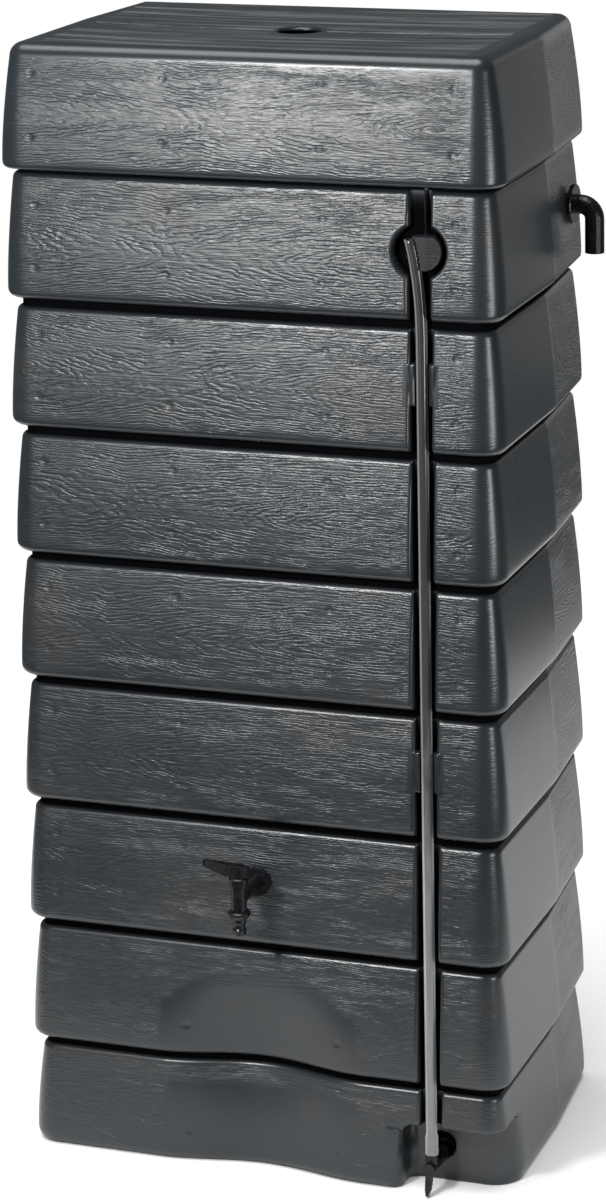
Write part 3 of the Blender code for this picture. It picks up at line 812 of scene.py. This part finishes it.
def make_lid(finish):
    """The cap: sides like a board, a sagging top with a round hole, and an inner skin."""
    columns, nx, ny = lid_columns()
    count = len(columns)
    runs = runs_round(columns)
    top_inset = LID_FLARE - LID_PROUD
    rows = []
    for k in range(5):
        turn = math.pi / 2 * k / 4
        inset = LID_PROUD * 3 - LID_PROUD * 4 * math.sin(turn)
        rows.append((inset, SKIRT_EDGE + LID_LIP * (1 - math.cos(turn))))
    low, high = SKIRT_EDGE + LID_LIP, LID_TOP - LID_ROUND
    heights = spread(low, high, 0.008)
    for nail in NAIL_ROWS:
        heights += [SKIRT_EDGE + nail + NAIL_RADIUS * k / 4 for k in range(-4, 5)]
    for z in merged([z for z in heights if low < z < high], 0.0007):
        share = ((z - low) / (high - low)) ** BULGE
        rows.append((-LID_PROUD + (top_inset + LID_PROUD) * share, z))
    for k in range(10):
        turn = math.pi / 2 * k / 9
        inset = top_inset + LID_ROUND * (1 - math.cos(turn))
        rows.append((inset, high + LID_ROUND * math.sin(turn)))
    ledge = RIM_TOP + 0.0003
    inner = [
        (LID_PROUD * 3 + 0.003, SKIRT_EDGE), (0.0035, SKIRT_EDGE + 0.009), (0.0055, ledge),
        (NECK_INSET + 0.006, ledge), (NECK_INSET + 0.006, ledge + 0.0035),
        (0.0065, ledge + 0.0035),
        (top_inset + WALL, LID_TOP - 0.020), (top_inset + 0.010, LID_TOP - 0.008),
        (top_inset + LID_ROUND + 0.003, LID_TOP - WALL),
    ]
    bm = bmesh.new()
    uv = bm.loops.layers.uv.new("grain")
    share_layer = bm.verts.layers.float.new("grain_share")

    def grid_of(ring):
        """The flat top inside a ring, as rows of vertices from front to back."""
        left = [ring[-k % count] for k in range(ny + 1)]
        bottom = [ring[k] for k in range(nx + 1)]
        right = [ring[nx + k] for k in range(ny + 1)]
        top = [ring[(nx + ny + nx - k) % count] for k in range(nx + 1)]
        grid = []
        for j in range(ny + 1):
            v = (left[j].co.y - left[0].co.y) / (left[ny].co.y - left[0].co.y)
            line = []
            for i in range(nx + 1):
                if j == 0:
                    line.append(bottom[i])
                elif j == ny:
                    line.append(top[i])
                elif i == 0:
                    line.append(left[j])
                elif i == nx:
                    line.append(right[j])
                else:
                    x = bottom[i].co.x * (1 - v) + top[i].co.x * v
                    u = (x - left[j].co.x) / (right[j].co.x - left[j].co.x)
                    y = left[j].co.y * (1 - u) + right[j].co.y * u
                    line.append(bm.verts.new((x, y, bottom[i].co.z)))
            grid.append(line)
        return grid

    def cover(ring, flip):
        """Closes a ring with the sagging top."""
        grid = grid_of(ring)
        edge = set(ring)
        for line in grid:
            for vert in line:
                if vert not in edge:
                    vert.co.z -= lid_sag(vert.co.x, vert.co.y)
                    vert[share_layer] = top_share(vert.co.x, vert.co.y)
        for low_line, high_line in zip(grid, grid[1:]):
            for i in range(nx):
                corners = [low_line[i], low_line[i + 1], high_line[i + 1], high_line[i]]
                face = bm.faces.new(reversed(corners) if flip else corners)
                for loop in face.loops:
                    x, y, _ = loop.vert.co
                    loop[uv].uv = (x + 0.31, 0.16 + TOP_COARSE * (y + HALF))

    def top_share(x, y):
        edge = min(HALF - 0.040 - abs(x), y - FRONT - 0.022, BACK - 0.030 - y)
        hole = math.hypot(x, y - FILL_Y) - FILL_HOLE / 2 - 0.006
        return TOP_GRAIN * clamp(edge / 0.006) * clamp(hole / 0.003)

    rings = []
    for side, line in (("outer", rows), ("inner", inner)):
        for inset, z in line:
            ring = []
            for column in columns:
                dent = 0.0
                if side == "outer" and column.face == "front" and inset < top_inset:
                    dent = nail_dent(column.x, z - SKIRT_EDGE)
                vert = bm.verts.new(lid_point(column, inset, z, dent))
                if side == "outer":
                    vert[share_layer] = lid_share(column, z)
                ring.append(vert)
            rings.append((side, z, ring))
    outer = [entry for entry in rings if entry[0] == "outer"]
    under = [entry for entry in rings if entry[0] == "inner"]
    chain = list(reversed(outer)) + under
    for (_, z0, first), (_, z1, second) in zip(chain, chain[1:]):
        for i in range(count):
            n = (i + 1) % count
            face = bm.faces.new((second[i], second[n], first[n], first[i]))
            spots = ((runs[i], z1), (runs[i + 1], z1), (runs[i + 1], z0), (runs[i], z0))
            for loop, (u, z) in zip(face.loops, spots):
                loop[uv].uv = (u, z - SKIRT_EDGE)
    cover(outer[-1][2], False)
    cover(under[-1][2], True)
    bmesh.ops.recalc_face_normals(bm, faces=bm.faces)
    mesh = bpy.data.meshes.new("lid")
    bm.to_mesh(mesh)
    bm.free()
    lid = put("lid_cap", mesh, finish, "lid", "tank_plastic", "lid")
    cut_fill_hole(lid)
    return soften(lid)


def lid_share(column, z):
    """1 where the lid's sides show wood grain, 0 where they are smooth."""
    height = z - SKIRT_EDGE
    share = clamp((height - 0.006) / 0.006) * clamp((LID_TOP - LID_ROUND - z + 0.004) / 0.006)
    if column.face == "front":
        return share * front_grain(column.x)
    if column.face in ("right", "left"):
        return share * clamp((column.y - KINK_Y - 0.001) / 0.003)
    if column.face == "corner" and column.y < 0:
        return share * corner_grain(column)
    return share


def cut_fill_hole(lid):
    """The round filling hole, with a small chamfer that catches the light."""
    bm = bmesh.new()
    radius = FILL_HOLE / 2
    top = LID_TOP - lid_sag(0, FILL_Y + radius)
    profile = [(radius, LID_TOP - 0.03), (radius, top - 0.0022), (radius + 0.0018, top - 0.0003)]
    profile.append((radius + 0.004, LID_TOP + 0.003))
    rings = []
    for r, z in profile:
        ring = []
        for k in range(72):
            turn = 2 * math.pi * k / 72
            ring.append(bm.verts.new((r * math.cos(turn), FILL_Y + r * math.sin(turn), z)))
        rings.append(ring)
    for low, high in zip(rings, rings[1:]):
        for k in range(72):
            n = (k + 1) % 72
            bm.faces.new((low[k], low[n], high[n], high[k]))
    bm.faces.new(list(reversed(rings[0])))
    bm.faces.new(rings[-1])
    mesh = bpy.data.meshes.new("fill_hole")
    bm.to_mesh(mesh)
    bm.free()
    cutter = bpy.data.objects.new("fill_hole", mesh)
    bpy.context.scene.collection.objects.link(cutter)
    cut = lid.modifiers.new("hole", "BOOLEAN")
    cut.operation = "DIFFERENCE"
    cut.object = cutter
    cut.solver = "EXACT"
    bpy.context.view_layer.update()
    depsgraph = bpy.context.evaluated_depsgraph_get()
    result = bpy.data.meshes.new_from_object(lid.evaluated_get(depsgraph), depsgraph=depsgraph)
    lid.modifiers.clear()
    lid.data = result
    bpy.data.objects.remove(cutter)


# ---------------------------------------------------------------- level hose
def make_hose(finish):
    """The clear tube in the groove. It is stretched over the barb at its foot."""
    sides = HOSE_SIDES
    heights = merged(
        spread(HOSE_END, HOSE_FLARE_TOP + 0.010, 0.002)
        + spread(HOSE_FLARE_TOP, HOSE_STRAIGHT, 0.05)
        + spread(HOSE_STRAIGHT, HOSE_TOP, 0.006), 0.0008,
    )

    def ring(z, radius):
        x = hose_x(z)
        turns = [2 * math.pi * k / sides for k in range(sides)]
        return [(x + radius * math.cos(turn), HOSE_Y + radius * math.sin(turn), z) for turn in turns]

    def stretch(z):
        return HOSE_STRETCH * (1 - smooth((z - HOSE_FLARE_TOP) / 0.007))

    rows = [ring(HOSE_END, HOSE_OUTER + HOSE_STRETCH - 0.0009)]
    rows.append(ring(HOSE_END + 0.0003, HOSE_OUTER + HOSE_STRETCH - 0.0003))
    rows += [ring(z, HOSE_OUTER + stretch(z)) for z in heights[1:-1]]
    rows += [ring(HOSE_TOP - 0.0004, HOSE_OUTER), ring(HOSE_TOP, HOSE_OUTER - 0.0004)]
    rows += [ring(HOSE_TOP, HOSE_INNER + 0.0003), ring(HOSE_TOP - 0.0003, HOSE_INNER)]
    rows += [ring(z, HOSE_INNER + stretch(z)) for z in reversed(heights[1:-1])]
    rows.append(ring(HOSE_END, HOSE_INNER + HOSE_STRETCH))
    uvs = [[(HOSE_WRAP * k / sides, row[0][2]) for k in range(sides + 1)] for row in rows]
    shares = [[0.0] * sides for _ in rows]
    mesh = mesh_from_grid("hose", rows, uvs, shares)
    return soften(put("level_hose_tube", mesh, finish, "barrel", "clear_pvc", "level_hose"), 60)


# ---------------------------------------------------------------- materials
def node(tree, kind, **settings):
    made = tree.nodes.new(kind)
    for key, value in settings.items():
        setattr(made, key, value)
    return made


def math_node(tree, operation, a, b=None, clamped=False):
    """A Math node from numbers or sockets."""
    made = node(tree, "ShaderNodeMath", operation=operation, use_clamp=clamped)
    for k, value in enumerate((a, b)):
        if value is None:
            continue
        if isinstance(value, (int, float)):
            made.inputs[k].default_value = value
        else:
            tree.links.new(value, made.inputs[k])
    return made.outputs[0]


def times(tree, a, b, clamped=False):
    return math_node(tree, "MULTIPLY", a, b, clamped)


def plus(tree, a, b):
    return math_node(tree, "ADD", a, b)


def minus(tree, a, b):
    return math_node(tree, "SUBTRACT", a, b)


def noise(tree, vector, scale, detail=2.0, roughness=0.5):
    made = node(tree, "ShaderNodeTexNoise")
    made.inputs["Scale"].default_value = scale
    made.inputs["Detail"].default_value = detail
    made.inputs["Roughness"].default_value = roughness
    tree.links.new(vector, made.inputs["Vector"])
    return made.outputs["Fac"]


def joined(tree, x, y, z=0.0):
    made = node(tree, "ShaderNodeCombineXYZ")
    for k, value in enumerate((x, y, z)):
        if isinstance(value, (int, float)):
            made.inputs[k].default_value = value
        else:
            tree.links.new(value, made.inputs[k])
    return made.outputs[0]


def stretched(tree, u, v, along, across, seed=0.0):
    """Coordinates for a noise that is drawn out along the board."""
    return joined(tree, times(tree, u, along), times(tree, v, across), seed)


def ramp(tree, factor, *stops):
    made = node(tree, "ShaderNodeValToRGB")
    band = made.color_ramp
    while len(band.elements) < len(stops):
        band.elements.new(0.5)
    for element, (position, colour) in zip(band.elements, stops):
        element.position = position
        element.color = (*colour, 1)
    tree.links.new(factor, made.inputs[0])
    return made.outputs[0]


def bumped(tree, shader, height, strength, distance):
    bump = node(tree, "ShaderNodeBump")
    bump.inputs["Strength"].default_value = strength
    bump.inputs["Distance"].default_value = distance
    tree.links.new(height, bump.inputs["Height"])
    tree.links.new(bump.outputs[0], shader.inputs["Normal"])


def mixed(tree, factor, below, above):
    """A colour socket: below where factor is 0, above (a colour or a socket) where it is 1."""
    made = node(tree, "ShaderNodeMix", data_type="RGBA")
    tree.links.new(factor, made.inputs["Factor"])
    tree.links.new(below, made.inputs["A"])
    if isinstance(above, tuple):
        made.inputs["B"].default_value = (*above, 1)
    else:
        tree.links.new(above, made.inputs["B"])
    return made.outputs["Result"]


def new_material(name):
    made = bpy.data.materials.new(name)
    made.use_nodes = True
    return made, made.node_tree, made.node_tree.nodes["Principled BSDF"]


def grain_height(tree, u, v):
    """Height of the moulded grain: long fibres, less nested arches cut into them."""
    wander = minus(tree, noise(tree, stretched(tree, u, v, 5.0, 22.0), 1.0, 3.0), 0.5)
    ripple = minus(tree, noise(tree, stretched(tree, u, v, 42.0, 120.0), 1.0, 2.0), 0.5)
    # Nested arches: rings of a very long ellipse on the middle line of each board.
    along = math_node(tree, "PINGPONG", plus(tree, u, 0.05), 0.31)
    along = math_node(tree, "DIVIDE", minus(tree, along, 0.02), 0.20)
    across = math_node(tree, "DIVIDE", minus(tree, v, 0.066), 0.030)
    across = math_node(tree, "ABSOLUTE", across)
    squares = plus(
        tree, math_node(tree, "POWER", along, 2.0), math_node(tree, "POWER", across, 2.0)
    )
    ring = math_node(tree, "SQRT", squares)
    ring = plus(tree, ring, times(tree, wander, 0.9))
    ring = plus(tree, ring, times(tree, ripple, 0.22))
    wave = math_node(tree, "SINE", times(tree, ring, 60.0))
    groove = math_node(tree, "POWER", times(tree, minus(tree, 1.0, wave), 0.5), 1.7)
    patch = noise(tree, stretched(tree, u, v, 14.0, 50.0, 3.1), 1.0, 2.0)
    patch = plus(tree, times(tree, minus(tree, patch, 0.34), 3.0, clamped=True), 0.25)
    arches = times(tree, groove, patch)
    fibre = noise(tree, stretched(tree, u, v, 17.0, 520.0, 7.7), 1.0, 3.0, 0.6)
    fibre = times(tree, minus(tree, fibre, 0.5), 1.7)
    return minus(tree, fibre, times(tree, arches, 0.9))


def wood_grain_plastic():
    """Moulded wood-grain anthracite plastic, worn on the lid's top, painted shade in the grooves."""
    made, tree, shader = new_material("tank_plastic_grain")
    uv = node(tree, "ShaderNodeUVMap", uv_map="grain")
    parts = node(tree, "ShaderNodeSeparateXYZ")
    tree.links.new(uv.outputs[0], parts.inputs[0])
    u, v = parts.outputs[0], parts.outputs[1]
    mask = node(tree, "ShaderNodeAttribute", attribute_name="grain_share").outputs["Fac"]
    painted_shade_fac = node(tree, "ShaderNodeAttribute", attribute_name="hollow").outputs["Fac"]
    geometry = node(tree, "ShaderNodeTexCoord").outputs["Object"]

    height = times(tree, grain_height(tree, u, v), mask)
    height = plus(tree, height, times(tree, noise(tree, geometry, 900.0, 2.0), 0.06))
    bumped(tree, shader, height, 1.0, 0.00034)

    cloud = noise(tree, geometry, 5.5, 3.0, 0.55)
    colour = ramp(
        tree, cloud,
        (0.30, (0.011, 0.014, 0.017)), (0.58, (0.016, 0.020, 0.023)), (0.72, (0.027, 0.023, 0.021)),
    )
    # Grained and raised parts are painted lighter: partly wear, partly a painted sheen where the
    # grain catches the light.
    wear_and_sheen = times(tree, plus(tree, height, 0.25), 0.6, clamped=True)
    colour = mixed(tree, times(tree, wear_and_sheen, mask), colour, (0.034, 0.040, 0.045))
    # The lid's top is more worn: pale streaks along the fibres.
    streaks = noise(tree, stretched(tree, u, v, 3.5, 260.0, 2.3), 1.0, 4.0, 0.65)
    streaks = times(tree, minus(tree, streaks, 0.47), 5.0, clamped=True)
    worn = times(tree, minus(tree, mask, 1.0), 0.7, clamped=True)
    colour = mixed(tree, times(tree, streaks, worn), colour, (0.120, 0.130, 0.136))
    # Painted shade: the necks, groove, ring and the tap's pocket go near black.
    colour = mixed(tree, painted_shade_fac, colour, (0.0015, 0.0015, 0.002))
    tree.links.new(colour, shader.inputs["Base Color"])

    rough = plus(tree, times(tree, cloud, 0.12), 0.22)
    rough = plus(tree, rough, times(tree, mask, 0.06))
    # The painted shade also makes them rougher and lowers their specular level.
    rough = plus(tree, rough, times(tree, painted_shade_fac, 0.45))
    tree.links.new(rough, shader.inputs["Roughness"])
    gloss = minus(tree, 0.5, times(tree, painted_shade_fac, 0.48))
    tree.links.new(gloss, shader.inputs["Specular IOR Level"])
    return made


def moulded_black():
    """Black injection-moulded plastic with faint waviness and dust."""
    made, tree, shader = new_material("black_plastic_moulded")
    geometry = node(tree, "ShaderNodeTexCoord").outputs["Object"]
    fine = noise(tree, geometry, 700.0, 2.0)
    wave = noise(tree, geometry, 90.0, 2.0)
    bumped(tree, shader, plus(tree, times(tree, fine, 0.25), wave), 0.35, 0.0002)
    shader.inputs["Specular IOR Level"].default_value = 0.30
    dust = noise(tree, geometry, 160.0, 3.0, 0.6)
    colour = ramp(tree, dust, (0.45, (0.004, 0.004, 0.005)), (0.75, (0.0096, 0.0096, 0.012)))
    tree.links.new(colour, shader.inputs["Base Color"])
    tree.links.new(plus(tree, times(tree, dust, 0.2), 0.18), shader.inputs["Roughness"])
    return made


def clear_hose():
    """Clear PVC hose, gone milky. It is darkest and clearest towards its open top end."""
    made, tree, shader = new_material("clear_pvc_hose")
    geometry = node(tree, "ShaderNodeTexCoord").outputs["Object"]
    parts = node(tree, "ShaderNodeSeparateXYZ")
    tree.links.new(geometry, parts.inputs[0])
    x, y, z = parts.outputs
    streak = noise(tree, joined(tree, x, y, times(tree, z, 0.12)), 260.0, 3.0)
    level = math_node(tree, "DIVIDE", z, 1.2)
    level = plus(tree, level, times(tree, minus(tree, streak, 0.5), 0.25))
    body = ramp(
        tree, level,
        (0.05, (0.16, 0.165, 0.165)), (0.30, (0.20, 0.20, 0.195)),
        (0.50, (0.050, 0.050, 0.053)), (0.95, (0.030, 0.029, 0.029)),
    )
    edge = ramp(
        tree, level,
        (0.05, (0.30, 0.31, 0.31)), (0.30, (0.50, 0.50, 0.49)),
        (0.50, (0.26, 0.255, 0.25)), (0.95, (0.20, 0.195, 0.19)),
    )
    # Two lighter streaks up the wall of the tube, where it pipes the light.
    uv = node(tree, "ShaderNodeUVMap", uv_map="grain")
    wall = node(tree, "ShaderNodeSeparateXYZ")
    tree.links.new(uv.outputs[0], wall.inputs[0])
    turn = math_node(tree, "DIVIDE", wall.outputs[0], HOSE_WRAP)
    dark, pale = (0.0, 0.0, 0.0), (1.0, 1.0, 1.0)
    light = ramp(
        tree, turn, (0.02, pale), (0.05, dark), (0.55, dark), (0.59, pale),
        (0.66, pale), (0.70, dark), (0.92, dark), (0.955, pale),
    )
    tree.links.new(mixed(tree, light, body, edge), shader.inputs["Base Color"])
    shader.inputs["Transmission Weight"].default_value = 0.10
    shader.inputs["IOR"].default_value = 1.5
    tree.links.new(plus(tree, times(tree, streak, 0.12), 0.08), shader.inputs["Roughness"])
    return made


tank_finish = wood_grain_plastic()
fitting_finish = moulded_black()
hose_finish = clear_hose()

columns = tank_columns()
for tier in range(1, BOARDS + 1):
    make_board(tier, columns, tank_finish)
make_lid(tank_finish)
make_hose(hose_finish)

# All the fittings carried over from the CAD wear the black plastic.
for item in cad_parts.values():
    if item.hide_render:
        continue
    for place in item.material_slots:
        place.material = fitting_finish


# ---------------------------------------------------------------- floor, light and camera
FLOOR_RADIUS, FLOOR_SHIFT = 1.7, 0.95


def make_stage():
    """A pale round floor. It ends a step in front, so that the boards do not mirror it."""
    bm = bmesh.new()
    bmesh.ops.create_circle(bm, cap_ends=True, segments=128, radius=FLOOR_RADIUS)
    for vert in bm.verts:
        vert.co.y += FLOOR_SHIFT
        vert.co.z = -0.0002
    mesh = bpy.data.meshes.new("floor")
    bm.to_mesh(mesh)
    bm.free()
    floor = bpy.data.objects.new("floor", mesh)
    bpy.context.scene.collection.objects.link(floor)
    made, _, shader = new_material("pale_floor")
    shader.inputs["Base Color"].default_value = (0.86, 0.86, 0.86, 1)
    shader.inputs["Roughness"].default_value = 1.0
    shader.inputs["Specular IOR Level"].default_value = 0.0
    mesh.materials.append(made)


def area_light(name, place, target, size, power):
    data = bpy.data.lights.new(name, "AREA")
    data.shape = "RECTANGLE"
    data.size, data.size_y = size
    data.energy = power
    lamp = bpy.data.objects.new(name, data)
    bpy.context.scene.collection.objects.link(lamp)
    lamp.location = place
    lamp.rotation_euler = (Vector(target) - Vector(place)).to_track_quat("-Z", "Y").to_euler()
    lamp.visible_camera = False


def make_world():
    """A white backdrop for the camera, and a much dimmer sky for everything else."""
    world = bpy.data.worlds.new("studio")
    bpy.context.scene.world = world
    world.use_nodes = True
    tree = world.node_tree
    sky = tree.nodes["Background"]
    sky.inputs[0].default_value = (0.92, 0.96, 1.0, 1)
    sky.inputs[1].default_value = 0.15
    backdrop = node(tree, "ShaderNodeBackground")
    backdrop.inputs[0].default_value = (1, 1, 1, 1)
    backdrop.inputs[1].default_value = 1.0
    mix = node(tree, "ShaderNodeMixShader")
    tree.links.new(node(tree, "ShaderNodeLightPath").outputs["Is Camera Ray"], mix.inputs[0])
    tree.links.new(sky.outputs[0], mix.inputs[1])
    tree.links.new(backdrop.outputs[0], mix.inputs[2])
    tree.links.new(mix.outputs[0], tree.nodes["World Output"].inputs[0])


def make_light():
    """A broad light from above whitens the floor; soft boxes shape the dark plastic."""
    make_world()
    data = bpy.data.lights.new("overhead", "SUN")
    data.energy = 3.5
    data.angle = math.radians(50)
    overhead = bpy.data.objects.new("overhead", data)
    bpy.context.scene.collection.objects.link(overhead)
    overhead.rotation_euler = (math.radians(8), math.radians(-6), 0)
    area_light("key", (-0.44, -1.75, 1.60), (0.0, -0.2, 1.28), (0.30, 0.26), 34)
    area_light("fill", (-1.0, -3.0, 0.8), (0, -0.2, 0.5), (1.8, 1.2), 7)
    area_light("corner_strip", (2.37, -1.0, 0.85), (0.30, -0.19, 0.75), (0.75, 1.0), 26)
    area_light("rear", (0.75, 3.2, 1.2), (0.3, 0.1, 0.8), (0.6, 1.7), 2.6)


def make_camera():
    """A long lens from the front right and a little above, kept upright by a vertical shift."""
    data = bpy.data.cameras.new("camera")
    data.sensor_width = 36
    data.lens = 115.94
    data.shift_y = -0.2083
    data.clip_end = 100
    camera = bpy.data.objects.new("camera", data)
    bpy.context.scene.collection.objects.link(camera)
    right = Vector((0.94094, 0.33804, -0.01908))
    forward = Vector((-0.33376, 0.91658, -0.22019))
    up = right.cross(forward)
    turn = Matrix((right, up, -forward)).transposed().to_4x4()
    camera.matrix_world = Matrix.Translation((1.5953, -4.3886, 2.0581)) @ turn
    bpy.context.scene.camera = camera


make_stage()
make_light()
make_camera()
bpy.context.scene.view_settings.view_transform = "Standard"
